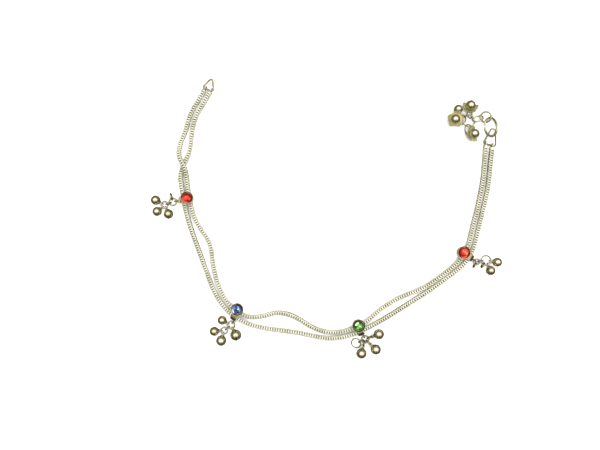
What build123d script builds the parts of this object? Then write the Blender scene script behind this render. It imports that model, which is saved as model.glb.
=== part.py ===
"""Payal anklet: two snake-chain strands, four stone settings with bell clusters, a clasp end.

Millimetres. The anklet lies open on z = 0 and its box is centred on the origin. The strands run
counter-clockwise, from the plain end at the upper left to the clasp end at the upper right.
"""
from build123d import *
from collections import namedtuple
from math import asin, cos, pi, radians, sin, tan
import os

os.makedirs("parts", exist_ok=True)

# Chain strands
CHAIN_R = 1.08
FREE_Z = 1.15
CLIP_Z = 1.55
END_EYE_MEAN_R = 0.82
END_EYE_WIRE_R = 0.28
END_EYE_REACH = 0.75

# Wire of the rings, links and eyes
HUB_WIRE_R = 0.30
RING_WIRE_R = 0.28
FINE_WIRE_R = 0.26
LINK_WIRE_R = 0.35
JUMP_WIRE_R = 0.38
CLASP_WIRE_R = 0.47
CLASP_RING_R = 3.7
CLASP_GAP_DEG = 8
RING_Z = 1.45

# Stone settings: band around both strands, round cup, tab with an eye
STRAND_PITCH = 2.35
BAND_R = 1.55
BAND_WALL = 0.35
BAND_LENGTH = 2.4
CUP_R = 2.4
CUP_RIM_R = 2.6
CUP_LIP = 0.12
CUP_Z = 2.95
CUP_FLOOR = 0.45
CUP_HEIGHT = 2.35
SEAT_R = 1.8
SEAT_Z = 4.0
BORE_R = 2.1
BORE_TOP_Z = 4.45
TAB_WIDTH = 2.2
TAB_THICK = 0.5
TAB_EYE_MEAN_R = 0.70
TAB_EYE_WIRE_R = 0.27

# Stones: round cut
STONE_R = 2.0
GIRDLE_Z = 4.3
GIRDLE_HALF = 0.08
TABLE_HEIGHT = 0.72
CULET_DEPTH = 0.8
# A row of facets: slope from level, turn in facets, how many, side (1 crown, -1 pavilion), inset
FacetRow = namedtuple("FacetRow", "slope phase count side inset")
FACET_ROWS = [
    FacetRow(35, 0, 8, 1, 0.02),
    FacetRow(45, 0.5, 16, 1, 0),
    FacetRow(24, 0, 8, -1, 0),
]

# Small bells
BELL_WALL = 0.3
BELL_SLIT = 0.5
BELL_SLIT_HALF_DEG = 60
BELL_EYE_REACH = 0.85
BELL_EYE_MEAN_R = 0.62
BELL_EYE_WIRE_R = 0.22
COLLAR_R = 0.9
COLLAR_TOP_R = 0.55
COLLAR_HEIGHT = 0.55
COLLAR_RISE = 0.3

# Flower bells: a five-petalled cup with a ball in it
PETALS = 5
PETAL_TIP_R = 3.45
PETAL_ARC_R = 2.6
PETAL_ARC_OFFSET = 0.9
PETAL_NOTCH_R = 2.8
PETAL_EDGE_INSET = 0.15
FLOWER_WALL = 0.35
FLOWER_FOOT_R = 0.7
FLOWER_RIM_Z = 1.6
FLOWER_BALL_R = 1.95
FLOWER_BALL_Z = 2.2
FLOWER_EYE_MEAN_R = 0.85
FLOWER_EYE_DROP = 0.85

UP = Vector(0, 0, 1)

# Centre lines of the strands, set by hand
INNER_ROUTE = [
    (-49.7, 52.1, FREE_Z),
    (-52.5, 47.5, FREE_Z),
    (-56.0, 41.5, FREE_Z),
    (-57.3, 35.5, FREE_Z),
    (-59.9, 29.7, FREE_Z),
    (-60.0, 24.5, 3.5),
    (-56.9, 19.5, 3.5),
    (-56.6, 12.5, CLIP_Z),
    (-55.1, 3.5, CLIP_Z),
    (-52.7, -2.7, FREE_Z),
    (-47.1, -10.3, FREE_Z),
    (-46.4, -19.1, FREE_Z),
    (-44.1, -28.3, FREE_Z),
    (-39.5, -36.0, CLIP_Z),
    (-32.7, -40.7, CLIP_Z),
    (-26.1, -40.4, FREE_Z),
    (-19.9, -38.3, FREE_Z),
    (-12.9, -40.0, FREE_Z),
    (-5.5, -45.1, FREE_Z),
    (1.7, -47.1, FREE_Z),
    (8.9, -46.1, CLIP_Z),
    (16.5, -42.5, CLIP_Z),
    (21.9, -37.3, FREE_Z),
    (30.5, -32.1, FREE_Z),
    (38.5, -29.3, 1.8),
    (46.1, -24.3, 2.6),
    (54.6, -17.5, CLIP_Z),
    (57.8, -12.0, CLIP_Z),
    (59.7, -3.5, FREE_Z),
    (61.9, 4.9, FREE_Z),
    (63.8, 14.5, FREE_Z),
    (64.6, 22.9, FREE_Z),
    (65.0, 29.5, FREE_Z),
]
OUTER_ROUTE = [
    (-47.5, 51.3, FREE_Z),
    (-50.3, 46.1, FREE_Z),
    (-53.6, 41.1, FREE_Z),
    (-55.0, 34.5, FREE_Z),
    (-55.6, 26.5, FREE_Z),
    (-59.9, 18.3, FREE_Z),
    (-58.9, 11.8, CLIP_Z),
    (-57.5, 3.5, CLIP_Z),
    (-55.1, -4.9, FREE_Z),
    (-51.9, -13.5, FREE_Z),
    (-48.7, -22.5, FREE_Z),
    (-45.5, -31.1, FREE_Z),
    (-40.7, -38.0, CLIP_Z),
    (-34.2, -42.5, CLIP_Z),
    (-26.5, -45.0, FREE_Z),
    (-17.7, -46.0, FREE_Z),
    (-8.7, -47.4, FREE_Z),
    (0.9, -49.7, FREE_Z),
    (10.1, -48.1, CLIP_Z),
    (17.3, -44.7, CLIP_Z),
    (25.3, -40.2, FREE_Z),
    (33.7, -34.9, FREE_Z),
    (42.1, -29.7, FREE_Z),
    (50.6, -23.5, FREE_Z),
    (56.4, -19.0, CLIP_Z),
    (60.1, -12.9, CLIP_Z),
    (62.1, -4.3, FREE_Z),
    (64.2, 4.3, FREE_Z),
    (66.1, 12.9, FREE_Z),
    (66.8, 21.3, FREE_Z),
    (67.6, 28.7, FREE_Z),
]

Station = namedtuple("Station", "name inner_run outer_run cup_out cup_along tab_reach tab_shift")
STATIONS = [
    Station("red_left", 7, 6, -0.79, -0.06, 4.2, 0.4),
    Station("blue", 13, 12, -2.28, -0.79, 3.35, 0.8),
    Station("green", 20, 18, -1.80, 0.52, 3.4, 0.6),
    Station("red_right", 26, 24, -2.38, 0.11, 3.55, -0.2),
]

# Places below are measured outward from the strands, along them, and up from the table.
# A heading turns from outward to along. A lean turns the ring about its heading.
Ring = namedtuple("Ring", "name out along height mean_r wire_r heading lean")
RINGS = {
    "red_left": [
        Ring("hub", 5.7, 0.4, RING_Z, 1.5, HUB_WIRE_R, 0, 0),
        Ring("connector", 7.5, 0.8, RING_Z, 1.05, RING_WIRE_R, 12, 90),
        Ring("outer_ring", 9.2, 1.1, RING_Z, 1.35, RING_WIRE_R, 0, 0),
        Ring("side_ring", 5.9, -1.75, 1.72, 1.4, RING_WIRE_R, -85, 90),
    ],
    "blue": [
        Ring("hub", 4.85, 0.8, RING_Z, 1.5, HUB_WIRE_R, 0, 0),
        Ring("connector", 6.65, 0.3, RING_Z, 1.05, RING_WIRE_R, -16, 90),
        Ring("outer_ring", 8.25, -0.2, RING_Z, 1.35, RING_WIRE_R, 0, 0),
    ],
    "green": [
        Ring("hub", 4.9, 0.6, RING_Z, 1.5, HUB_WIRE_R, 0, 0),
        Ring("bell_ring_1", 5.03, 2.5, RING_Z, 1.15, RING_WIRE_R, 86, 90),
        Ring("bell_ring_2", 6.67, 1.28, RING_Z, 1.15, RING_WIRE_R, 21, 90),
        Ring("bell_ring_3", 6.33, -0.65, RING_Z, 1.15, RING_WIRE_R, -41, 90),
        Ring("connector", 4.85, -1.27, RING_Z, 1.1, RING_WIRE_R, -90, 90),
        Ring("side_ring", 4.8, -3.45, 0.92, 1.9, FINE_WIRE_R, 0, 18),
    ],
    "red_right": [
        Ring("hub", 4.75, -0.2, RING_Z, 1.2, HUB_WIRE_R, 0, 0),
        Ring("connector", 6.0, 0.84, RING_Z, 1.12, RING_WIRE_R, 40, 90),
        Ring("outer_ring", 7.75, 2.3, RING_Z, 1.9, HUB_WIRE_R, 0, 0),
        Ring("side_ring", 4.75, -1.8, RING_Z, 1.1, RING_WIRE_R, -90, 90),
        Ring("end_ring", 7.6, -0.1, 1.52, 1.2, RING_WIRE_R, -92, 90),
    ],
    "clasp": [
        Ring("jump_ring", -2.3, 3.9, 3.3, 2.1, JUMP_WIRE_R, -80, 25),
        Ring("connector", -5.2, 3.4, 2.1, 2.1, RING_WIRE_R, 25, -55),
        Ring("hub", -8.6, 2.7, 1.55, 2.35, RING_WIRE_R, 0, 0),
        Ring("bell_ring_a", -12.15, 3.1, 1.6, 2.15, FINE_WIRE_R, 180, -26),
        Ring("bell_ring_b", -8.9, -1.0, 1.65, 2.2, FINE_WIRE_R, 90, 38),
        Ring("bell_ring_c", -8.4, 5.25, 1.65, 1.6, FINE_WIRE_R, 102, 36),
    ],
}

# Each small bell hangs from the ring at this heading from the ring's centre. Its slit runs square
# to the ring's wire at a turn of 0 and along the wire at 90.
Bell = namedtuple("Bell", "ring heading ball_r slit_turn")
BELLS = {
    "red_left": [
        Bell("outer_ring", -38, 1.91, 90),
        Bell("outer_ring", 32, 1.85, 90),
        Bell("outer_ring", 105, 1.91, 90),
    ],
    "blue": [
        Bell("hub", -85, 1.80, 90),
        Bell("outer_ring", -52, 1.85, 90),
        Bell("outer_ring", 19, 2.07, 90),
        Bell("hub", 62, 2.23, 0),
    ],
    "green": [
        Bell("bell_ring_1", 86, 2.07, 0),
        Bell("bell_ring_2", 21, 2.05, 0),
        Bell("bell_ring_3", -41, 2.07, 0),
    ],
    "red_right": [
        Bell("outer_ring", 21, 1.85, 90),
        Bell("outer_ring", -36, 1.85, 90),
    ],
    "clasp": [
        Bell("bell_ring_a", 101, 1.75, 90),
    ],
}

# Each flower bell leans by tilt from upright, toward the azimuth. Its petals are turned by turn.
Flower = namedtuple("Flower", "name ring heading azimuth tilt turn")
FLOWERS = [
    Flower("a", "bell_ring_a", 178, -150, 12, 36),
    Flower("b", "bell_ring_b", -82, 10, 33, 0),
    Flower("c", "bell_ring_c", 92, 90, 35, 18),
]
CLASP_ORIGIN = Vector(66.7, 36.8, 0)
CLASP_Z = 2.55
CLASP_LEAN = 33

# End links in the plane through both strands' eyes: corners, fillet and rise of the far side
CLASP_LINK_CORNERS = [(-2.4, 0), (2.8, 0), (0.35, 6.4), (-1.45, 6.4)]
CLASP_LINK_RISE_DEG = 16
PLAIN_LINK_CORNERS = [(-2.5, 0), (2.5, 0), (-0.3, 5.4)]
PLAIN_LINK_RISE_DEG = -9
LINK_FILLET = 0.65


def save(piece, name):
    piece.part.label = name
    export_step(piece.part, f"parts/{name}.step")


def compass(heading):
    return Vector(cos(radians(heading)), sin(radians(heading)), 0)


def side_plane(plane):
    """The plane through plane's axis, with its x outward and its y along the axis."""
    return Plane(origin=plane.origin, x_dir=plane.x_dir, z_dir=-plane.y_dir)


def leaning_plane(origin, heading, lean):
    """The level plane with x along heading, turned about x by lean degrees."""
    normal = UP * cos(radians(lean)) + heading.cross(UP) * sin(radians(lean))
    return Plane(origin, x_dir=heading, z_dir=normal)


def corner_radii(name, route):
    """Radii of the arcs at the route's inner points: 0.45 of the shorter run over tan(half turn)."""
    points = [Vector(*point) for point in route]
    radii = []
    for before, here, after in zip(points, points[1:], points[2:]):
        run_in = here - before
        run_out = after - here
        half_turn = radians(run_in.get_angle(run_out)) / 2
        radii.append(0.45 * min(run_in.length, run_out.length) / tan(half_turn))
    print(name, "radii", [round(radius, 1) for radius in radii])
    return radii


def strand(name, route):
    """A chain strand's plain tube with the wire eye soldered on each end."""
    first = Vector(*route[0])
    last = Vector(*route[-1])
    out_first = (first - Vector(*route[1])).normalized()
    out_last = (last - Vector(*route[-2])).normalized()
    with BuildPart() as piece:
        with BuildLine() as path:
            FilletPolyline(*route, radius=corner_radii(name, route))
        with BuildSketch(Plane(origin=first, z_dir=-out_first)):
            Circle(CHAIN_R)
        sweep()
        length = path.wires()[0].length
        print(name, "length", round(length, 1), "volume ratio",
              round(piece.part.volume / (pi * CHAIN_R**2 * length), 4))
        for end, out in [(first, out_first), (last, out_last)]:
            eye_plane = Plane(end + out * END_EYE_REACH, x_dir=out, z_dir=out.cross(UP))
            with Locations(eye_plane.location):
                Torus(END_EYE_MEAN_R, END_EYE_WIRE_R)
    save(piece, name)


def station_plane(station):
    """Origin between the strands on the table, x outward, y along the strands."""
    starts = [INNER_ROUTE[station.inner_run], OUTER_ROUTE[station.outer_run]]
    ends = [INNER_ROUTE[station.inner_run + 1], OUTER_ROUTE[station.outer_run + 1]]
    along = Vector(0, 0, 0)
    middle = Vector(0, 0, 0)
    for start, end in zip(starts, ends):
        along += (Vector(*end) - Vector(*start)).normalized() / 2
        middle += (Vector(*end) + Vector(*start)) / 4
    return Plane(Vector(middle.X, middle.Y, 0), x_dir=along.cross(UP), z_dir=UP)


def setting(station, plane):
    """Band around both strands, cup for the stone and tab with its eye, soldered together."""
    cup_axis = plane.from_local_coords(Vector(station.cup_out, station.cup_along, 0))
    cup_plane = Plane(cup_axis, x_dir=plane.x_dir, z_dir=UP)
    eye_at = plane.from_local_coords(Vector(station.tab_reach, station.tab_shift, RING_Z))
    with BuildPart() as piece:
        with BuildSketch(side_plane(plane)):
            with Locations((0, BAND_R)):
                SlotCenterToCenter(STRAND_PITCH, 2 * BAND_R)
                SlotCenterToCenter(STRAND_PITCH, 2 * (BAND_R - BAND_WALL), mode=Mode.SUBTRACT)
        extrude(amount=BAND_LENGTH / 2, both=True)
        with BuildSketch(side_plane(cup_plane)):
            with BuildLine():
                Polyline(
                    (0, CUP_Z),
                    (CUP_R, CUP_Z),
                    (CUP_RIM_R, CUP_Z + CUP_HEIGHT),
                    (CUP_RIM_R - CUP_LIP, CUP_Z + CUP_HEIGHT),
                    (BORE_R, BORE_TOP_Z),
                    (BORE_R, SEAT_Z),
                    (SEAT_R, SEAT_Z),
                    (SEAT_R, CUP_Z + CUP_FLOOR),
                    (0, CUP_Z + CUP_FLOOR),
                    close=True,
                )
            make_face()
        revolve(axis=Axis(cup_axis, UP))
        tab_start = STRAND_PITCH / 2 + BAND_R - BAND_WALL / 2
        tab_end = station.tab_reach - TAB_EYE_MEAN_R
        tab_length = max(tab_end - tab_start, BAND_WALL / 2)
        tab_at = Vector(tab_start + tab_length / 2, station.tab_shift, RING_Z)
        with Locations(Plane(plane.from_local_coords(tab_at), x_dir=plane.x_dir).location):
            Box(tab_length, TAB_WIDTH, TAB_THICK)
        with Locations(Plane(eye_at, x_dir=plane.x_dir, z_dir=plane.y_dir).location):
            Torus(TAB_EYE_MEAN_R, TAB_EYE_WIRE_R)
    save(piece, f"setting_{station.name}")


def stone(station, plane):
    """Round-cut stone: table, main and break facets on the crown, main facets below the girdle."""
    centre = plane.from_local_coords(Vector(station.cup_out, station.cup_along, GIRDLE_Z))
    with BuildPart() as piece:
        with BuildSketch(Plane(centre, x_dir=plane.x_dir, z_dir=UP).offset(-CULET_DEPTH)):
            Circle(STONE_R)
        extrude(amount=CULET_DEPTH + TABLE_HEIGHT)
        for row in FACET_ROWS:
            for index in range(row.count):
                outward = plane.x_dir.rotate(Axis.Z, (index + row.phase) * 360 / row.count)
                edge = centre + outward * (STONE_R - row.inset) + UP * (row.side * GIRDLE_HALF)
                normal = outward * sin(radians(row.slope)) + UP * (row.side * cos(radians(row.slope)))
                split(bisect_by=Plane(edge, z_dir=normal), keep=Keep.BOTTOM)
    save(piece, f"stone_{station.name}")


def ring_plane(plane, ring):
    origin = plane.from_local_coords(Vector(ring.out, ring.along, ring.height))
    heading = plane.x_dir * cos(radians(ring.heading)) + plane.y_dir * sin(radians(ring.heading))
    return leaning_plane(origin, heading, ring.lean)


def wire_ring(name, plane, mean_r, wire_r):
    with BuildPart(plane) as piece:
        Torus(mean_r, wire_r)
    save(piece, name)


def point_on_ring(plane, ring, heading):
    """Point of the ring's centre line toward a heading, and the wire's direction there."""
    around = radians(heading - ring.heading)
    at = ring_plane(plane, ring)
    point = at.from_local_coords(Vector(cos(around), sin(around), 0) * ring.mean_r)
    direction = at.x_dir * -sin(around) + at.y_dir * cos(around)
    return point, direction


def hanging_plane(point, wire, axis, reach):
    """Plane across axis, reach beyond point, with x square to the eye that holds the wire."""
    across = (wire - axis * wire.dot(axis)).normalized()
    return Plane(point + axis * reach, x_dir=across, z_dir=axis)


def small_bell(name, station, ring, bell):
    """Hollow ball with a slit, a collar and an eye. It hangs from the ring and rests on the table."""
    eye, wire = point_on_ring(station, ring, bell.heading)
    reach = bell.ball_r + BELL_EYE_REACH
    dip = asin((eye.Z - bell.ball_r) / reach)
    local_out = compass(bell.heading)
    outward = station.x_dir * local_out.X + station.y_dir * local_out.Y
    axis = outward * cos(dip) - UP * sin(dip)
    plane = hanging_plane(eye, wire, axis, reach)
    with BuildPart(plane) as piece:
        Sphere(bell.ball_r)
        with Locations((0, 0, -bell.ball_r - COLLAR_RISE + COLLAR_HEIGHT / 2)):
            Cone(COLLAR_TOP_R, COLLAR_R, COLLAR_HEIGHT)
        Sphere(bell.ball_r - BELL_WALL, mode=Mode.SUBTRACT)
        slit_half = bell.ball_r * sin(radians(BELL_SLIT_HALF_DEG))
        with Locations((0, 0, bell.ball_r)):
            Box(BELL_SLIT, 2 * slit_half, bell.ball_r, rotation=(0, 0, bell.slit_turn), mode=Mode.SUBTRACT)
        with Locations((0, 0, -reach)):
            Torus(BELL_EYE_MEAN_R, BELL_EYE_WIRE_R, rotation=(0, 90, 0))
    save(piece, name)


def flower_bell(flower, station, ring):
    """Five-petalled cup with a ball soldered in it and an eye under it."""
    eye, wire = point_on_ring(station, ring, flower.heading)
    axis = compass(flower.azimuth) * sin(radians(flower.tilt)) + UP * cos(radians(flower.tilt))
    plane = hanging_plane(eye, wire, axis, FLOWER_EYE_DROP)
    tip = (PETAL_TIP_R, FLOWER_RIM_Z)
    inner_tip = (PETAL_TIP_R - PETAL_EDGE_INSET, FLOWER_RIM_Z + FLOWER_WALL)
    with BuildPart() as piece:
        with BuildSketch(side_plane(plane)):
            with BuildLine():
                Line((0, 0), (FLOWER_FOOT_R, 0))
                TangentArc((FLOWER_FOOT_R, 0), tip, tangent=(1, 0))
                Line(tip, inner_tip)
                TangentArc((FLOWER_FOOT_R, FLOWER_WALL), inner_tip, tangent=(1, 0))
                Line((FLOWER_FOOT_R, FLOWER_WALL), (0, FLOWER_WALL))
                Line((0, FLOWER_WALL), (0, 0))
            make_face()
        revolve(axis=Axis(plane.origin, plane.z_dir))
        with BuildSketch(plane):
            Circle(PETAL_NOTCH_R)
            for index in range(PETALS):
                with BuildSketch(mode=Mode.PRIVATE) as petal:
                    arc_x = PETAL_TIP_R - (PETAL_ARC_R**2 - PETAL_ARC_OFFSET**2)**0.5
                    with Locations((arc_x, PETAL_ARC_OFFSET)):
                        Circle(PETAL_ARC_R)
                    with Locations((arc_x, -PETAL_ARC_OFFSET)):
                        Circle(PETAL_ARC_R, mode=Mode.INTERSECT)
                add(petal.sketch.rotate(Axis.Z, flower.turn + index * 360 / PETALS))
        extrude(amount=2 * FLOWER_RIM_Z, mode=Mode.INTERSECT)
        with Locations(plane.offset(FLOWER_BALL_Z).location):
            Sphere(FLOWER_BALL_R)
        with Locations(plane.offset(-FLOWER_EYE_DROP).location):
            Torus(FLOWER_EYE_MEAN_R, RING_WIRE_R, rotation=(0, 90, 0))
    save(piece, f"flower_bell_{flower.name}")


def clasp_ring():
    """Large ring of heavy wire with a narrow gap at its raised side."""
    plane = leaning_plane(CLASP_ORIGIN + UP * CLASP_Z, Vector(0, 1, 0), CLASP_LEAN)
    start_dir = plane.x_dir.rotate(Axis(Vector(), plane.z_dir), 90 + CLASP_GAP_DEG / 2)
    start = Plane(plane.origin, x_dir=start_dir, z_dir=plane.z_dir)
    with BuildPart() as piece:
        with BuildSketch(side_plane(start)):
            with Locations((CLASP_RING_R, 0)):
                Circle(CLASP_WIRE_R)
        revolve(axis=Axis(plane.origin, plane.z_dir), revolution_arc=360 - CLASP_GAP_DEG)
    save(piece, "clasp_ring")


def end_link(name, inner_eye, outer_eye, corners, rise):
    """Closed wire link. Its bar lies through the eyes of both strands."""
    middle = (inner_eye + outer_eye) / 2
    bar = outer_eye - inner_eye
    plane = leaning_plane(middle, Vector(bar.X, bar.Y, 0).normalized(), rise)
    with BuildPart() as piece:
        with BuildLine(plane) as path:
            FilletPolyline(*corners, radius=LINK_FILLET, close=True)
        with BuildSketch(Plane(origin=path.line @ 0, z_dir=path.line % 0)):
            Circle(LINK_WIRE_R)
        sweep()
    save(piece, name)


def strand_eye(end, neighbour):
    """Centre of the eye beyond a strand's end."""
    out = (Vector(*end) - Vector(*neighbour)).normalized()
    return Vector(*end) + out * END_EYE_REACH


def cluster(name, plane):
    """The rings and small bells of one place."""
    rings = {ring.name: ring for ring in RINGS[name]}
    for ring in RINGS[name]:
        wire_ring(f"{name}_{ring.name}", ring_plane(plane, ring), ring.mean_r, ring.wire_r)
    for number, bell in enumerate(BELLS[name], start=1):
        small_bell(f"{name}_bell_{number}", plane, rings[bell.ring], bell)


strand("chain_inner", INNER_ROUTE)
strand("chain_outer", OUTER_ROUTE)

for station in STATIONS:
    base = station_plane(station)
    setting(station, base)
    stone(station, base)
    cluster(station.name, base)

clasp_plane = Plane(CLASP_ORIGIN, x_dir=(1, 0, 0), z_dir=UP)
clasp_rings = {ring.name: ring for ring in RINGS["clasp"]}
cluster("clasp", clasp_plane)
for flower in FLOWERS:
    flower_bell(flower, clasp_plane, clasp_rings[flower.ring])
clasp_ring()

end_link(
    "clasp_link",
    strand_eye(INNER_ROUTE[-1], INNER_ROUTE[-2]),
    strand_eye(OUTER_ROUTE[-1], OUTER_ROUTE[-2]),
    CLASP_LINK_CORNERS,
    CLASP_LINK_RISE_DEG,
)
end_link(
    "plain_end_link",
    strand_eye(INNER_ROUTE[0], INNER_ROUTE[1]),
    strand_eye(OUTER_ROUTE[0], OUTER_ROUTE[1]),
    PLAIN_LINK_CORNERS,
    PLAIN_LINK_RISE_DEG,
)
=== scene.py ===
import bmesh
import bpy
from collections import Counter, namedtuple
from math import pi, radians
from mathutils import Matrix, Vector


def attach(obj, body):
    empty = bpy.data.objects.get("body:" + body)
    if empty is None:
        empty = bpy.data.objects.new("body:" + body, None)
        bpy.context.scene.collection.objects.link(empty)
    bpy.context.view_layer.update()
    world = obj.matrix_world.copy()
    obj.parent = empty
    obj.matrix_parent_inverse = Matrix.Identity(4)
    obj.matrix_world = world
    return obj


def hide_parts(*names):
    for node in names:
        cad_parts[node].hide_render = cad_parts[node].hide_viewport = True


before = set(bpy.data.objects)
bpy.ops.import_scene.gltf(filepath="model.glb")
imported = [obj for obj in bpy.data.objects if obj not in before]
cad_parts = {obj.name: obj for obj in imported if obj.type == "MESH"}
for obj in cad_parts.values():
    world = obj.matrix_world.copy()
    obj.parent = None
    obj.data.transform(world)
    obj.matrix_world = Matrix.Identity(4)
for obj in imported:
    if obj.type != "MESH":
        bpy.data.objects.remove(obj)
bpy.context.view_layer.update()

MM = 0.001
UP = Vector((0, 0, 1))

# The points that steer each strand's centre line, as in the CAD but in metres
FREE_Z = 0.00115
CLIP_Z = 0.00155
INNER_ROUTE = [
    (-0.0497, 0.0521, FREE_Z),
    (-0.0525, 0.0475, FREE_Z),
    (-0.0560, 0.0415, FREE_Z),
    (-0.0573, 0.0355, FREE_Z),
    (-0.0599, 0.0297, FREE_Z),
    (-0.0600, 0.0245, 0.0035),
    (-0.0569, 0.0195, 0.0035),
    (-0.0566, 0.0125, CLIP_Z),
    (-0.0551, 0.0035, CLIP_Z),
    (-0.0527, -0.0027, FREE_Z),
    (-0.0471, -0.0103, FREE_Z),
    (-0.0464, -0.0191, FREE_Z),
    (-0.0441, -0.0283, FREE_Z),
    (-0.0395, -0.0360, CLIP_Z),
    (-0.0327, -0.0407, CLIP_Z),
    (-0.0261, -0.0404, FREE_Z),
    (-0.0199, -0.0383, FREE_Z),
    (-0.0129, -0.0400, FREE_Z),
    (-0.0055, -0.0451, FREE_Z),
    (0.0017, -0.0471, FREE_Z),
    (0.0089, -0.0461, CLIP_Z),
    (0.0165, -0.0425, CLIP_Z),
    (0.0219, -0.0373, FREE_Z),
    (0.0305, -0.0321, FREE_Z),
    (0.0385, -0.0293, 0.0018),
    (0.0461, -0.0243, 0.0026),
    (0.0546, -0.0175, CLIP_Z),
    (0.0578, -0.0120, CLIP_Z),
    (0.0597, -0.0035, FREE_Z),
    (0.0619, 0.0049, FREE_Z),
    (0.0638, 0.0145, FREE_Z),
    (0.0646, 0.0229, FREE_Z),
    (0.0650, 0.0295, FREE_Z),
]
OUTER_ROUTE = [
    (-0.0475, 0.0513, FREE_Z),
    (-0.0503, 0.0461, FREE_Z),
    (-0.0536, 0.0411, FREE_Z),
    (-0.0550, 0.0345, FREE_Z),
    (-0.0556, 0.0265, FREE_Z),
    (-0.0599, 0.0183, FREE_Z),
    (-0.0589, 0.0118, CLIP_Z),
    (-0.0575, 0.0035, CLIP_Z),
    (-0.0551, -0.0049, FREE_Z),
    (-0.0519, -0.0135, FREE_Z),
    (-0.0487, -0.0225, FREE_Z),
    (-0.0455, -0.0311, FREE_Z),
    (-0.0407, -0.0380, CLIP_Z),
    (-0.0342, -0.0425, CLIP_Z),
    (-0.0265, -0.0450, FREE_Z),
    (-0.0177, -0.0460, FREE_Z),
    (-0.0087, -0.0474, FREE_Z),
    (0.0009, -0.0497, FREE_Z),
    (0.0101, -0.0481, CLIP_Z),
    (0.0173, -0.0447, CLIP_Z),
    (0.0253, -0.0402, FREE_Z),
    (0.0337, -0.0349, FREE_Z),
    (0.0421, -0.0297, FREE_Z),
    (0.0506, -0.0235, FREE_Z),
    (0.0564, -0.0190, CLIP_Z),
    (0.0601, -0.0129, CLIP_Z),
    (0.0621, -0.0043, FREE_Z),
    (0.0642, 0.0043, FREE_Z),
    (0.0661, 0.0129, FREE_Z),
    (0.0668, 0.0213, FREE_Z),
    (0.0676, 0.0287, FREE_Z),
]

# The turn of each strand's square section, in degrees, at even steps from the plain end to the clasp
INNER_TURNS = [10, 0, -10, 5, 15, 0, -15, 0, 10, 20, 5, -10, 5]
OUTER_TURNS = [0, 10, -5, -15, 0, 10, 20, 5, -10, 0, 15, 0, -10]

# One link: a flat wire bent into a square ring, with two opposite sides pushed in and back
LINK_STEP = 0.50 * MM
LINK_MEAN_R = 0.89 * MM
LINK_WIRE_R = 0.18 * MM
LINK_WIRE_STRETCH = 1.9
LINK_SQUARENESS = 0.35
LINK_SIDES = 16
LINK_WIRE_SIDES = 6
# The two sides are where X is under this share of Y. The wider share takes in the corners beside them.
LINK_CORNER_SPREAD = 1.3
LINK_DIP_SPREAD = 0.8
LINK_CORNER_BACK = 0.10 * MM
LINK_DIP_BACK = 0.46 * MM
LINK_DIP_SHARE = 0.58
# Painted shade on a link grows from the first radius inward and is full at the second
RECESS_FROM_R = 0.94 * MM
RECESS_FULL_R = 0.74 * MM

ROUTE_RESOLUTION = 24
CORE_R = 0.44 * MM
CORE_RESOLUTION = 6

END_EYE_MEAN_R = 0.82 * MM
END_EYE_WIRE_R = 0.28 * MM
END_EYE_REACH = 0.75 * MM
END_CAP_R = 1.05 * MM
END_CAP_LENGTH = 1.0 * MM
END_CAP_ROUNDING = 0.3 * MM


def deselect_all():
    bpy.ops.object.select_all(action="DESELECT")


# ---- Nodes ----

COLOUR = "NodeSocketColor"
VALUE = "NodeSocketFloat"
VECTOR = "NodeSocketVector"
VALUE_OPERATIONS = ("DISTANCE", "DOT_PRODUCT", "LENGTH")
FLAT = (1, 1, 0)


def opaque(colour):
    return (*colour, 1)


def feed(links, socket, value):
    """Links a socket to another socket, or sets it to a plain value."""
    if isinstance(value, bpy.types.NodeSocket):
        links.new(value, socket)
    else:
        socket.default_value = value


def math_node(nodes, links, operation, first, second=0.0):
    node = nodes.new("ShaderNodeMath")
    node.operation = operation
    feed(links, node.inputs[0], first)
    feed(links, node.inputs[1], second)
    return node.outputs[0]


def vector_node(nodes, links, operation, first, second=(0, 0, 0)):
    """Vector maths: gives a vector, or a value where the operation has one."""
    node = nodes.new("ShaderNodeVectorMath")
    node.operation = operation
    feed(links, node.inputs[0], first)
    feed(links, node.inputs[1], second)
    return node.outputs["Value" if operation in VALUE_OPERATIONS else "Vector"]


def map_range(nodes, links, value, low, high, to_low=0.0, to_high=1.0):
    """Carries low and high over to the second range, clamped."""
    node = nodes.new("ShaderNodeMapRange")
    node.inputs["From Min"].default_value = low
    node.inputs["From Max"].default_value = high
    node.inputs["To Min"].default_value = to_low
    node.inputs["To Max"].default_value = to_high
    links.new(value, node.inputs["Value"])
    return node.outputs["Result"]


def mix_values(nodes, links, factor, first, second):
    node = nodes.new("ShaderNodeMix")
    feed(links, node.inputs["Factor"], factor)
    feed(links, node.inputs[2], first)
    feed(links, node.inputs[3], second)
    return node.outputs[0]


def mix_colours(nodes, links, factor, first, second, blend="MIX"):
    node = nodes.new("ShaderNodeMix")
    node.data_type = "RGBA"
    node.blend_type = blend
    feed(links, node.inputs["Factor"], factor)
    feed(links, node.inputs[6], first)
    feed(links, node.inputs[7], second)
    return node.outputs[2]


def mix_by_ray(nodes, links, ray, others, these, output):
    """Shows rays of one kind a shader of their own, and all others the first shader."""
    path = nodes.new("ShaderNodeLightPath")
    mix = nodes.new("ShaderNodeMixShader")
    links.new(path.outputs[ray], mix.inputs[0])
    links.new(others.outputs[0], mix.inputs[1])
    links.new(these.outputs[0], mix.inputs[2])
    links.new(mix.outputs[0], output.inputs["Surface"])


def new_group(name, inputs, outputs):
    """Node group with these sockets: the group, its nodes and links, its entry and its result."""
    group = bpy.data.node_groups.new(name, "ShaderNodeTree")
    for way, sockets in (("INPUT", inputs), ("OUTPUT", outputs)):
        for socket, kind in sockets.items():
            group.interface.new_socket(socket, in_out=way, socket_type=kind)
    entry = group.nodes.new("NodeGroupInput")
    result = group.nodes.new("NodeGroupOutput")
    return group, group.nodes, group.links, entry, result


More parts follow.
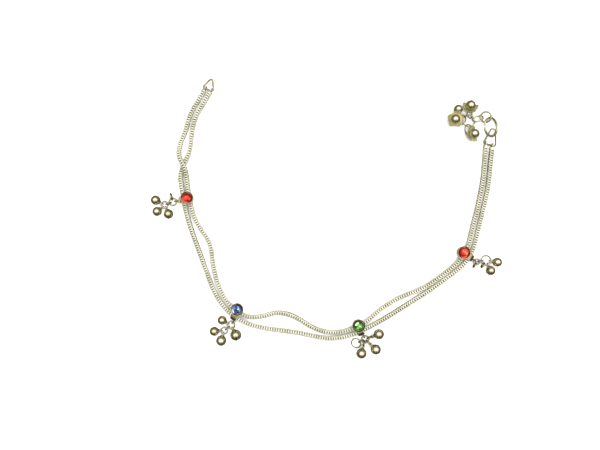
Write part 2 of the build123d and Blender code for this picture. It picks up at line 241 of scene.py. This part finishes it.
def use_group(nodes, group, values):
    node = nodes.new("ShaderNodeGroup")
    node.node_tree = group
    for socket, value in values.items():
        node.inputs[socket].default_value = value
    return node


def object_place(nodes):
    return nodes.new("ShaderNodeTexCoord").outputs["Object"]


def new_material(name):
    material = bpy.data.materials.new(name)
    material.use_nodes = True
    return material, material.node_tree.nodes, material.node_tree.links


# ---- Stage: table, light and camera ----

CAMERA_AT = Vector((-10.77, -2.97, 273.0)) * MM
CAMERA_LENS = 40.0
CAMERA_SENSOR = 36.0
CAMERA_NEAR = 0.01

TABLE_SIZE = 3.0
TABLE_TOP = -0.05 * MM
TABLE_BRIGHT = (0.95, 0.95, 0.945)
TABLE_SHADE = (0.09, 0.083, 0.045)

LIGHT_AT = Vector((0.30, 0.08, 1.55))
LIGHT_SIZE = 1.7
LIGHT_POWER = 48.0

# The room as polished metal sees it, from the horizon up: height of the direction, colour
ROOM_BANDS = [
    (0.00, (0.030, 0.027, 0.010)),
    (0.25, (0.085, 0.078, 0.035)),
    (0.50, (0.270, 0.250, 0.170)),
    (0.70, (0.560, 0.520, 0.430)),
    (0.86, (1.000, 0.990, 0.960)),
]
ROOM_STRENGTH = 2.1
ROOM_PALE = (1.0, 1.0, 1.0)
# The near half of the room is dimmer
NEAR_DIM = 0.35
NEAR_FROM = -0.50
NEAR_TO = 0.10
# A dark figure stands there. Sideways it is full to here from its middle line and gone at the edge.
FIGURE_ACROSS = 0.03
FIGURE_FULL = 0.02
FIGURE_EDGE = 0.20
# Toward the near side it begins at the first value and is full at the second
FIGURE_NEAR_FROM = -0.08
FIGURE_NEAR_FULL = -0.40
FIGURE_DARK = 0.75


def add_camera():
    bpy.ops.object.camera_add(location=CAMERA_AT, rotation=(0, 0, 0))
    camera = bpy.context.object
    camera.data.lens = CAMERA_LENS
    camera.data.sensor_width = CAMERA_SENSOR
    camera.data.clip_start = CAMERA_NEAR
    bpy.context.scene.camera = camera


def table_material():
    """Pale table. Polished metal sees it dark, as close metal sees a table in its own shade."""
    material, nodes, links = new_material("pale_table")
    nodes.clear()
    output = nodes.new("ShaderNodeOutputMaterial")
    bright = nodes.new("ShaderNodeBsdfDiffuse")
    bright.inputs["Color"].default_value = opaque(TABLE_BRIGHT)
    shade = nodes.new("ShaderNodeBsdfDiffuse")
    shade.inputs["Color"].default_value = opaque(TABLE_SHADE)
    mix_by_ray(nodes, links, "Is Glossy Ray", bright, shade, output)
    return material


def add_table():
    bpy.ops.mesh.primitive_plane_add(size=TABLE_SIZE, location=(0, 0, TABLE_TOP))
    table = bpy.context.object
    table.name = "table"
    table.data.materials.append(table_material())


def add_room():
    """Soft light: a wide bright ceiling, a dim horizon, and a dark figure on the near side."""
    world = bpy.data.worlds.new("room")
    bpy.context.scene.world = world
    world.use_nodes = True
    nodes = world.node_tree.nodes
    links = world.node_tree.links
    nodes.clear()
    output = nodes.new("ShaderNodeOutputWorld")
    room = nodes.new("ShaderNodeBackground")
    pale = nodes.new("ShaderNodeBackground")
    coords = nodes.new("ShaderNodeTexCoord")
    split = nodes.new("ShaderNodeSeparateXYZ")
    links.new(coords.outputs["Generated"], split.inputs[0])
    bands = nodes.new("ShaderNodeValToRGB")
    ramp = bands.color_ramp
    for element, (height, colour) in zip(ramp.elements, (ROOM_BANDS[0], ROOM_BANDS[-1])):
        element.position = height
        element.color = opaque(colour)
    for height, colour in ROOM_BANDS[1:-1]:
        ramp.elements.new(height).color = opaque(colour)
    links.new(split.outputs["Z"], bands.inputs[0])
    across = math_node(nodes, links, "SUBTRACT", split.outputs["X"], FIGURE_ACROSS)
    beside = math_node(nodes, links, "ABSOLUTE", across)
    narrow = map_range(nodes, links, beside, FIGURE_EDGE, FIGURE_FULL)
    near = map_range(nodes, links, split.outputs["Y"], FIGURE_NEAR_FROM, FIGURE_NEAR_FULL)
    figure = math_node(nodes, links, "MULTIPLY", narrow, near)
    shade = math_node(nodes, links, "MULTIPLY", figure, FIGURE_DARK)
    open_room = math_node(nodes, links, "SUBTRACT", 1.0, shade)
    side = map_range(
        nodes, links, split.outputs["Y"], NEAR_FROM, NEAR_TO, NEAR_DIM * ROOM_STRENGTH, ROOM_STRENGTH)
    links.new(bands.outputs[0], room.inputs["Color"])
    links.new(math_node(nodes, links, "MULTIPLY", open_room, side), room.inputs["Strength"])
    pale.inputs["Color"].default_value = opaque(ROOM_PALE)
    mix_by_ray(nodes, links, "Is Camera Ray", room, pale, output)


def add_table_light():
    """Large light that brightens the table. Polished metal doesn't mirror it."""
    bpy.ops.object.light_add(type="AREA", location=LIGHT_AT)
    light = bpy.context.object
    light.name = "table_light"
    light.data.shape = "SQUARE"
    light.data.size = LIGHT_SIZE
    light.data.energy = LIGHT_POWER
    light.rotation_euler = (-LIGHT_AT).to_track_quat("-Z", "Y").to_euler()
    light.visible_glossy = False


# ---- Materials ----

Finish = namedtuple("Finish", "bright film patch_scale polish dullness bump metal")
SETTING_FINISH = Finish((0.66, 0.62, 0.48), (0.42, 0.37, 0.24), 260.0, 0.14, 0.24, 0.06, 1.0)
CHAIN_FINISH = Finish((0.88, 0.88, 0.78), (0.68, 0.68, 0.53), 300.0, 0.34, 0.44, 0.10, 0.66)
CAP_FINISH = Finish((0.86, 0.85, 0.74), (0.62, 0.61, 0.42), 300.0, 0.25, 0.36, 0.10, 0.80)
# The core's dark colours are painted shade for the gaps between links
CORE_SHADE_FINISH = Finish((0.34, 0.33, 0.22), (0.20, 0.19, 0.11), 500.0, 0.50, 0.60, 0.10, 1.0)
CLASP_FINISH = Finish((0.74, 0.72, 0.52), (0.50, 0.49, 0.29), 240.0, 0.10, 0.22, 0.06, 0.92)
WIRE_FINISH = Finish((0.52, 0.48, 0.33), (0.30, 0.27, 0.14), 350.0, 0.14, 0.26, 0.08, 1.0)
BELL_FINISH = Finish((0.84, 0.79, 0.68), (0.60, 0.55, 0.38), 180.0, 0.08, 0.16, 0.05, 1.0)
FLOWER_FINISH = Finish((0.84, 0.79, 0.68), (0.60, 0.55, 0.38), 220.0, 0.16, 0.30, 0.06, 1.0)

# Film lies where the patch noise is above the first value, and is full at the second
PATCH_FROM = 0.42
PATCH_FULL = 0.68
PATCH_DETAIL = 3.0
GRAIN_SCALE = 9000.0
GRAIN_DETAIL = 2.0
GRAIN_DEPTH = 0.02 * MM

# Colour of the painted shade in a link's pushed-in recesses
RECESS_SHADE = (0.22, 0.21, 0.13)

# Painted shade in a cup: full inside the first radius, gone at the second, and none lower than this depth
# under its stone's middle
CUP_SHADE_FULL_R = 2.46 * MM
CUP_SHADE_EDGE_R = 2.52 * MM
CUP_SHADE_DEPTH = 0.25 * MM
# It thins from full at the shaded side to a share of that opposite. Sides are cosines to the shaded side.
CUP_LIT_SIDE = -1.0
CUP_SHADED_SIDE = 0.2
CUP_LIT_SHARE = 0.35
# The tab lies beyond this radius
TAB_FROM_R = 2.70 * MM
TAB_TINGE = (0.52, 0.47, 0.38)
SHADED_SIDES = {
    "red_left": (0.77, 0.64, 0),
    "blue": (0.87, 0.50, 0),
    "green": (0.34, 0.94, 0),
    "red_right": (-0.77, 0.64, 0),
}
# Colour of each cup's painted shade
CUP_SHADES = {
    "red_left": (0.035, 0.022, 0.006),
    "blue": (0.030, 0.032, 0.018),
    "green": (0.045, 0.020, 0.006),
    "red_right": (0.045, 0.022, 0.008),
}

BELL_SKIN = 0.12 * MM
# Colour of the painted shade inside a bell
BELL_INSIDE_SHADE = (0.05, 0.045, 0.025)

# Petals begin outside a flower bell's ball
BALL_R = 1.95 * MM
BALL_POLISH = 0.08
PETAL_FROM_R = BALL_R + 0.04 * MM
PETAL_FULL_R = BALL_R + 0.30 * MM
PETAL_METAL = 0.75
PETAL_TINT = (0.95, 1.0, 0.78)

STONE_FACETS = 8
STONE_RING = 0.75 * MM
STONE_ROUGHNESS = 0.10
STONE_IOR = 1.5
STONE_SPECULAR = 0.3
# A facet's random value picks its painted reflection. Between two of these values the colours blend.
FACET_DARK_TO = 0.20
FACET_BODY_FROM = 0.40
FACET_BODY_TO = 0.45
FACET_LIT_FROM = 0.65
FACET_SPARK_FROM = 0.88
# The stone's edge is dark, and darkest on the shaded side, where the cup's wall shades it
STONE_LIT_SHIFT = -0.28 * MM
STONE_RIM_FROM_R = 1.45 * MM
STONE_RIM_FULL_R = 1.85 * MM
STONE_RIM_SHARE = 0.92

# Each stone: painted reflections dark, body and lit, a painted glint (spark), painted shade at its rim, its
# cut's seed
Stone = namedtuple("Stone", "dark body lit spark rim cut")
STONES = {
    "red_left": Stone(
        (0.16, 0.002, 0.002), (0.42, 0.006, 0.003), (0.76, 0.035, 0.015), (0.90, 0.12, 0.06),
        (0.07, 0.006, 0.002), 1.0),
    "red_right": Stone(
        (0.18, 0.003, 0.002), (0.46, 0.008, 0.004), (0.80, 0.05, 0.025), (0.95, 0.18, 0.10),
        (0.08, 0.008, 0.003), 2.0),
    "blue": Stone(
        (0.004, 0.007, 0.04), (0.020, 0.036, 0.13), (0.10, 0.20, 0.43), (0.66, 0.85, 1.00),
        (0.010, 0.013, 0.020), 5.0),
    "green": Stone(
        (0.006, 0.04, 0.004), (0.02, 0.15, 0.012), (0.10, 0.42, 0.06), (0.50, 0.90, 0.38),
        (0.035, 0.020, 0.005), 4.0),
}


def middle(node):
    """Middle of a carried-over piece's box."""
    places = [vertex.co for vertex in node.data.vertices]
    low = Vector([min(place[axis] for place in places) for axis in range(3)])
    high = Vector([max(place[axis] for place in places) for axis in range(3)])
    return (low + high) / 2


def ball_centre(node, radius):
    """Middle of the ball of this radius that most of a node's vertices lie on."""
    centres = Counter()
    for vertex in node.data.vertices:
        centre = vertex.co - vertex.normal * radius
        centres[tuple(round(value, 4) for value in centre)] += 1
    return Vector(centres.most_common(1)[0][0])


def wear_group():
    """Silver's colour and roughness: bright metal with a warm film that gathers in patches."""
    group, nodes, links, entry, result = new_group(
        "silver_wear",
        {"Bright": COLOUR, "Film": COLOUR, "Patch Scale": VALUE, "Polish": VALUE, "Dullness": VALUE},
        {"Color": COLOUR, "Roughness": VALUE, "Height": VALUE})
    place = object_place(nodes)
    patches = nodes.new("ShaderNodeTexNoise")
    patches.inputs["Detail"].default_value = PATCH_DETAIL
    links.new(place, patches.inputs["Vector"])
    links.new(entry.outputs["Patch Scale"], patches.inputs["Scale"])
    spread = map_range(nodes, links, patches.outputs["Fac"], PATCH_FROM, PATCH_FULL)
    colour = mix_colours(nodes, links, spread, entry.outputs["Bright"], entry.outputs["Film"])
    rough = mix_values(nodes, links, spread, entry.outputs["Polish"], entry.outputs["Dullness"])
    grain = nodes.new("ShaderNodeTexNoise")
    grain.inputs["Scale"].default_value = GRAIN_SCALE
    grain.inputs["Detail"].default_value = GRAIN_DETAIL
    links.new(place, grain.inputs["Vector"])
    links.new(colour, result.inputs["Color"])
    links.new(rough, result.inputs["Roughness"])
    links.new(grain.outputs["Fac"], result.inputs["Height"])
    return group


def silver(name, wear, finish):
    """Silver. Worn or tightly linked silver scatters more light, so its metal share is lower."""
    material, nodes, links = new_material(name)
    shader = nodes["Principled BSDF"]
    shader.inputs["Metallic"].default_value = finish.metal
    skin = use_group(nodes, wear, {
        "Bright": opaque(finish.bright),
        "Film": opaque(finish.film),
        "Patch Scale": finish.patch_scale,
        "Polish": finish.polish,
        "Dullness": finish.dullness,
    })
    grain = nodes.new("ShaderNodeBump")
    grain.inputs["Strength"].default_value = finish.bump
    grain.inputs["Distance"].default_value = GRAIN_DEPTH
    links.new(skin.outputs["Height"], grain.inputs["Height"])
    links.new(skin.outputs["Color"], shader.inputs["Base Color"])
    links.new(skin.outputs["Roughness"], shader.inputs["Roughness"])
    links.new(grain.outputs["Normal"], shader.inputs["Normal"])
    return material


def colour_over(material, group, values):
    """Puts a group between a silver's colour and its shader, and gives the group's node."""
    nodes = material.node_tree.nodes
    links = material.node_tree.links
    over = use_group(nodes, group, values)
    base = nodes["Principled BSDF"].inputs["Base Color"]
    links.new(base.links[0].from_socket, over.inputs["Metal"])
    links.new(over.outputs["Color"], base)
    return over


def chain_material(name, wear):
    """Chain silver, with painted shade where the recess attribute is high."""
    material = silver(name, wear, CHAIN_FINISH)
    nodes = material.node_tree.nodes
    links = material.node_tree.links
    painted_recess_shade = nodes.new("ShaderNodeAttribute")
    painted_recess_shade.attribute_name = "painted_recess_shade"
    base = nodes["Principled BSDF"].inputs["Base Color"]
    metal = base.links[0].from_socket
    links.new(mix_colours(nodes, links, painted_recess_shade.outputs["Fac"], metal, opaque(RECESS_SHADE)), base)
    return material


def cup_group():
    """Painted shade on a cup's inner wall around its stone, heaviest on the shaded side, and a tinge on its
    tab.
    """
    group, nodes, links, entry, result = new_group(
        "cup_shade",
        {"Centre": VECTOR, "Side": VECTOR, "Metal": COLOUR, "Film": COLOUR},
        {"Color": COLOUR})
    offset = vector_node(nodes, links, "SUBTRACT", object_place(nodes), entry.outputs["Centre"])
    flat = vector_node(nodes, links, "MULTIPLY", offset, FLAT)
    reach = vector_node(nodes, links, "LENGTH", flat)
    within = map_range(nodes, links, reach, CUP_SHADE_EDGE_R, CUP_SHADE_FULL_R)
    heading = vector_node(nodes, links, "NORMALIZE", flat)
    facing = vector_node(nodes, links, "DOT_PRODUCT", heading, entry.outputs["Side"])
    lean = map_range(nodes, links, facing, CUP_LIT_SIDE, CUP_SHADED_SIDE, CUP_LIT_SHARE)
    split = nodes.new("ShaderNodeSeparateXYZ")
    links.new(offset, split.inputs[0])
    upper = math_node(nodes, links, "GREATER_THAN", split.outputs["Z"], -CUP_SHADE_DEPTH)
    wall = math_node(nodes, links, "MULTIPLY", within, upper)
    share = math_node(nodes, links, "MULTIPLY", wall, lean)
    cup_shaded_colour = mix_colours(nodes, links, share, entry.outputs["Metal"], entry.outputs["Film"])
    outside = math_node(nodes, links, "GREATER_THAN", reach, TAB_FROM_R)
    tinged = mix_colours(nodes, links, outside, cup_shaded_colour, opaque(TAB_TINGE), "MULTIPLY")
    links.new(tinged, result.inputs["Color"])
    return group


def setting_material(name, wear, cup, centre, station):
    """Setting silver with painted shade around this setting's stone."""
    material = silver(name, wear, SETTING_FINISH)
    colour_over(material, cup, {
        "Centre": centre,
        "Side": SHADED_SIDES[station],
        "Film": opaque(CUP_SHADES[station]),
    })
    return material


def bell_group():
    """Painted shade inside a bell, by distance from its middle."""
    group, nodes, links, entry, result = new_group(
        "bell_inside",
        {"Centre": VECTOR, "Radius": VALUE, "Metal": COLOUR, "Film": COLOUR},
        {"Color": COLOUR})
    reach = vector_node(nodes, links, "DISTANCE", object_place(nodes), entry.outputs["Centre"])
    within = math_node(nodes, links, "LESS_THAN", reach, entry.outputs["Radius"])
    colour = mix_colours(nodes, links, within, entry.outputs["Metal"], entry.outputs["Film"])
    links.new(colour, result.inputs["Color"])
    return group


def bell_material(name, wear, inside, node):
    """Polished bell silver, with painted shade inside. The bell's ball is as tall as its box."""
    heights = [vertex.co.z for vertex in node.data.vertices]
    radius = (max(heights) - min(heights)) / 2
    material = silver(name, wear, BELL_FINISH)
    colour_over(material, inside, {
        "Centre": ball_centre(node, radius),
        "Radius": radius - BELL_SKIN,
        "Film": opaque(BELL_INSIDE_SHADE),
    })
    return material


def ball_group():
    """Tells a flower bell's ball from its petals, by distance from the ball's middle."""
    group, nodes, links, entry, result = new_group(
        "ball_or_petal",
        {"Centre": VECTOR, "Metal": COLOUR, "Petal": COLOUR, "Dullness": VALUE},
        {"Color": COLOUR, "Roughness": VALUE, "Metallic": VALUE})
    metal = entry.outputs["Metal"]
    reach = vector_node(nodes, links, "DISTANCE", object_place(nodes), entry.outputs["Centre"])
    petal = map_range(nodes, links, reach, PETAL_FROM_R, PETAL_FULL_R)
    tinted = mix_colours(nodes, links, 1.0, metal, entry.outputs["Petal"], "MULTIPLY")
    colour = mix_colours(nodes, links, petal, metal, tinted)
    rough = mix_values(nodes, links, petal, BALL_POLISH, entry.outputs["Dullness"])
    metallic = mix_values(nodes, links, petal, 1.0, PETAL_METAL)
    links.new(colour, result.inputs["Color"])
    links.new(rough, result.inputs["Roughness"])
    links.new(metallic, result.inputs["Metallic"])
    return group


def flower_material(name, wear, balls, node):
    """Flower bell silver: a polished ball in a cup of duller, yellower petals."""
    material = silver(name, wear, FLOWER_FINISH)
    links = material.node_tree.links
    shader = material.node_tree.nodes["Principled BSDF"]
    parts = colour_over(material, balls, {
        "Centre": ball_centre(node, BALL_R),
        "Petal": opaque(PETAL_TINT),
    })
    links.new(shader.inputs["Roughness"].links[0].from_socket, parts.inputs["Dullness"])
    links.new(parts.outputs["Roughness"], shader.inputs["Roughness"])
    links.new(parts.outputs["Metallic"], shader.inputs["Metallic"])
    return material


def facet_group():
    """Painted reflections: light and dark sectors of the lower facets, as seen through a cut stone's table.
    """
    group, nodes, links, entry, result = new_group(
        "stone_facet_reflections",
        {"Centre": VECTOR, "Side": VECTOR, "Dark": COLOUR, "Body": COLOUR, "Lit": COLOUR,
         "Spark": COLOUR, "Rim": COLOUR, "Cut": VALUE},
        {"Color": COLOUR})
    offset = vector_node(nodes, links, "SUBTRACT", object_place(nodes), entry.outputs["Centre"])
    split = nodes.new("ShaderNodeSeparateXYZ")
    links.new(offset, split.inputs[0])
    angle = math_node(nodes, links, "ARCTAN2", split.outputs["Y"], split.outputs["X"])
    sectors = math_node(nodes, links, "MULTIPLY", angle, STONE_FACETS / (2 * pi))
    flat = vector_node(nodes, links, "MULTIPLY", offset, FLAT)
    reach = vector_node(nodes, links, "LENGTH", flat)
    rings = math_node(nodes, links, "DIVIDE", reach, STONE_RING)
    seed = nodes.new("ShaderNodeCombineXYZ")
    links.new(math_node(nodes, links, "FLOOR", sectors), seed.inputs[0])
    links.new(math_node(nodes, links, "FLOOR", rings), seed.inputs[1])
    links.new(entry.outputs["Cut"], seed.inputs[2])
    shades = nodes.new("ShaderNodeTexWhiteNoise")
    links.new(seed.outputs[0], shades.inputs["Vector"])
    shade = shades.outputs["Value"]
    body = map_range(nodes, links, shade, FACET_DARK_TO, FACET_BODY_FROM)
    colour = mix_colours(nodes, links, body, entry.outputs["Dark"], entry.outputs["Body"])
    lit = map_range(nodes, links, shade, FACET_BODY_TO, FACET_LIT_FROM)
    colour = mix_colours(nodes, links, lit, colour, entry.outputs["Lit"])
    spark = math_node(nodes, links, "GREATER_THAN", shade, FACET_SPARK_FROM)
    colour = mix_colours(nodes, links, spark, colour, entry.outputs["Spark"])
    shift = vector_node(nodes, links, "MULTIPLY", entry.outputs["Side"], (STONE_LIT_SHIFT,) * 3)
    away = vector_node(nodes, links, "SUBTRACT", flat, shift)
    out = vector_node(nodes, links, "LENGTH", away)
    rim = map_range(nodes, links, out, STONE_RIM_FROM_R, STONE_RIM_FULL_R, 0.0, STONE_RIM_SHARE)
    colour = mix_colours(nodes, links, rim, colour, entry.outputs["Rim"])
    links.new(colour, result.inputs["Color"])
    return group


def stone_material(name, facets, centre, station):
    """Foil-backed cut glass, its colour painted reflections with painted shade at its edge."""
    stone = STONES[station]
    material, nodes, links = new_material(name)
    shader = nodes["Principled BSDF"]
    face = use_group(nodes, facets, {
        "Centre": centre,
        "Side": SHADED_SIDES[station],
        "Dark": opaque(stone.dark),
        "Body": opaque(stone.body),
        "Lit": opaque(stone.lit),
        "Spark": opaque(stone.spark),
        "Rim": opaque(stone.rim),
        "Cut": stone.cut,
    })
    links.new(face.outputs["Color"], shader.inputs["Base Color"])
    shader.inputs["Roughness"].default_value = STONE_ROUGHNESS
    shader.inputs["IOR"].default_value = STONE_IOR
    shader.inputs["Specular IOR Level"].default_value = STONE_SPECULAR
    return material


# ---- Chain strands ----

def pick(piece, test):
    """In edit mode, selects the vertices whose places pass the test, and nothing else."""
    shape = bmesh.from_edit_mesh(piece.data)
    for vert in shape.verts:
        vert.select = test(vert.co)
    shape.select_flush_mode()
    bmesh.update_edit_mesh(piece.data)


def model_link():
    """The link that both strands repeat, its axis along Z. Its recess attribute is its share of painted
    shade.
    """
    deselect_all()
    bpy.ops.mesh.primitive_torus_add(
        major_segments=LINK_SIDES, minor_segments=LINK_WIRE_SIDES, major_radius=LINK_MEAN_R,
        minor_radius=LINK_WIRE_R)
    link = bpy.context.object
    squared = link.modifiers.new("squared", "CAST")
    squared.cast_type = "CUBOID"
    squared.use_z = False
    squared.factor = LINK_SQUARENESS
    bpy.ops.object.modifier_apply(modifier="squared")
    bpy.ops.object.mode_set(mode="EDIT")
    bpy.ops.mesh.select_mode(type="VERT")
    bpy.ops.mesh.select_all(action="SELECT")
    bpy.ops.transform.resize(value=(1, 1, LINK_WIRE_STRETCH))
    pick(link, lambda place: abs(place.x) < LINK_CORNER_SPREAD * abs(place.y))
    bpy.ops.transform.translate(value=(0, 0, -LINK_CORNER_BACK))
    pick(link, lambda place: abs(place.x) < LINK_DIP_SPREAD * abs(place.y))
    bpy.ops.transform.translate(value=(0, 0, LINK_CORNER_BACK - LINK_DIP_BACK))
    bpy.ops.transform.resize(value=(LINK_DIP_SHARE, LINK_DIP_SHARE, 1), center_override=(0, 0, 0))
    bpy.ops.object.mode_set(mode="OBJECT")
    bpy.ops.object.shade_smooth()
    painted_recess_shade = link.data.attributes.new("painted_recess_shade", "FLOAT", "POINT")
    for vertex, value in zip(link.data.vertices, painted_recess_shade.data):
        depth = (RECESS_FROM_R - vertex.co.xy.length) / (RECESS_FROM_R - RECESS_FULL_R)
        value.value = min(max(depth, 0.0), 1.0)
    return link


def centre_line(name, route):
    """Curve whose smooth line the route's points steer."""
    curve = bpy.data.curves.new(name, "CURVE")
    curve.dimensions = "3D"
    curve.resolution_u = ROUTE_RESOLUTION
    spline = curve.splines.new("NURBS")
    spline.points.add(len(route) - 1)
    for point, place in zip(spline.points, route):
        point.co = (*place, 1)
    spline.order_u = 3
    spline.use_endpoint_u = True
    line = bpy.data.objects.new(name, curve)
    bpy.context.scene.collection.objects.link(line)
    bpy.context.view_layer.update()
    return line


def even_steps(line, pitch):
    """Places and directions at an even pitch along a curve that has no bevel."""
    mesh = bpy.data.meshes.new_from_object(line)
    points = [vertex.co.copy() for vertex in mesh.vertices]
    lengths = [0.0]
    for before, after in zip(points, points[1:]):
        lengths.append(lengths[-1] + (after - before).length)
    count = round(lengths[-1] / pitch)
    steps = []
    segment = 0
    for index in range(count + 1):
        distance = lengths[-1] * index / count
        while segment < len(points) - 2 and lengths[segment + 1] < distance:
            segment += 1
        run = points[segment + 1] - points[segment]
        share = (distance - lengths[segment]) / run.length
        steps.append((points[segment] + run * share, run.normalized()))
    return steps


def turn_at(turns, share):
    """The section's turn at a share of the strand's length, eased between its steps."""
    place = share * (len(turns) - 1)
    index = min(int(place), len(turns) - 2)
    ease = place - index
    ease = ease * ease * (3 - 2 * ease)
    return radians(turns[index] * (1 - ease) + turns[index + 1] * ease)


def thread_links(link, steps, turns):
    """A copy of the link at each step between the ends, every second one a quarter turn on."""
    copies = []
    last = len(steps) - 1
    for number, (centre, along) in enumerate(steps[1:-1], start=1):
        side = along.cross(UP).normalized()
        rise = side.cross(along)
        square = Matrix((side, rise, along)).transposed().to_4x4()
        turn = turn_at(turns, number / last) + (pi / 2 if number % 2 else 0)
        copy = bpy.data.objects.new("link", link.data.copy())
        copy.matrix_world = Matrix.Translation(centre) @ square @ Matrix.Rotation(turn, 4, "Z")
        bpy.context.scene.collection.objects.link(copy)
        copies.append(copy)
    return copies


def core_rod(line):
    """Dark rod along the strand's middle as painted shade, which shows only between the links."""
    line.data.resolution_u = CORE_RESOLUTION
    line.data.bevel_depth = CORE_R
    line.data.bevel_resolution = 1
    deselect_all()
    line.select_set(True)
    bpy.context.view_layer.objects.active = line
    bpy.ops.object.convert(target="MESH")
    return line


def end_fitting(end, out):
    """Soldered cap over the last links, and the wire eye beyond it."""
    deselect_all()
    bpy.ops.mesh.primitive_cylinder_add(
        vertices=24, radius=END_CAP_R, depth=END_CAP_LENGTH, location=end - out * END_CAP_LENGTH / 2,
        rotation=out.to_track_quat("Z", "Y").to_euler())
    cap = bpy.context.object
    bpy.ops.object.transform_apply(location=True, rotation=True, scale=True)
    rounding = cap.modifiers.new("rounding", "BEVEL")
    rounding.width = END_CAP_ROUNDING
    rounding.segments = 4
    bpy.ops.object.modifier_apply(modifier="rounding")
    bpy.ops.object.shade_smooth()
    deselect_all()
    across = out.cross(UP).normalized()
    bpy.ops.mesh.primitive_torus_add(
        major_radius=END_EYE_MEAN_R, minor_radius=END_EYE_WIRE_R, major_segments=32, minor_segments=10,
        location=end + out * END_EYE_REACH, rotation=across.to_track_quat("Z", "Y").to_euler())
    eye = bpy.context.object
    bpy.ops.object.transform_apply(location=True, rotation=True, scale=True)
    bpy.ops.object.shade_smooth()
    return [cap, eye]


def strand(name, route, turns, link, node, link_material, cap_material, core_material):
    """One strand: links threaded along its route, an end fitting at each end and a dark core of painted
    shade.
    """
    line = centre_line(name + "_line", route)
    steps = even_steps(line, LINK_STEP)
    threaded = thread_links(link, steps, turns)
    for part in threaded:
        part.data.materials.append(link_material)
    fittings = end_fitting(steps[0][0], -steps[0][1]) + end_fitting(steps[-1][0], steps[-1][1])
    for part in fittings:
        part.data.materials.append(cap_material)
    rod = core_rod(line)
    rod.data.materials.append(core_material)
    deselect_all()
    for part in threaded + fittings:
        part.select_set(True)
    rod.select_set(True)
    bpy.context.view_layer.objects.active = rod
    bpy.ops.object.join()
    bpy.ops.object.transform_apply(location=True, rotation=True, scale=True)
    rod.name = name
    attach(rod, "root")
    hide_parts(node)


# ---- The anklet on its table ----

bpy.context.scene.view_settings.view_transform = "Standard"
add_camera()
add_table()
add_room()
add_table_light()

wear = wear_group()
cup = cup_group()
inside = bell_group()
balls = ball_group()
facets = facet_group()
chain_silver = chain_material("chain_silver", wear)
cap_silver = silver("cap_silver", wear, CAP_FINISH)
core_shadow = silver("chain_core_shade", wear, CORE_SHADE_FINISH)
clasp_silver = silver("clasp_silver", wear, CLASP_FINISH)
wire_silver = silver("wire_silver", wear, WIRE_FINISH)

for name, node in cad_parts.items():
    if name.startswith("setting_"):
        station = name.removeprefix("setting_")
        material = setting_material(name, wear, cup, middle(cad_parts["stone_" + station]), station)
    elif name.startswith("stone_"):
        material = stone_material(name, facets, middle(node), name.removeprefix("stone_"))
    elif name.startswith("flower_bell"):
        material = flower_material(name, wear, balls, node)
    elif name in ("clasp_ring", "clasp_hub", "clasp_connector"):
        material = clasp_silver
    elif "bell" in name and "ring" not in name:
        material = bell_material(name, wear, inside, node)
    else:
        material = wire_silver
    node.data.materials.clear()
    node.data.materials.append(material)

link = model_link()
strand("inner_strand", INNER_ROUTE, INNER_TURNS, link, "chain_inner", chain_silver, cap_silver, core_shadow)
strand("outer_strand", OUTER_ROUTE, OUTER_TURNS, link, "chain_outer", chain_silver, cap_silver, core_shadow)
bpy.data.objects.remove(link)
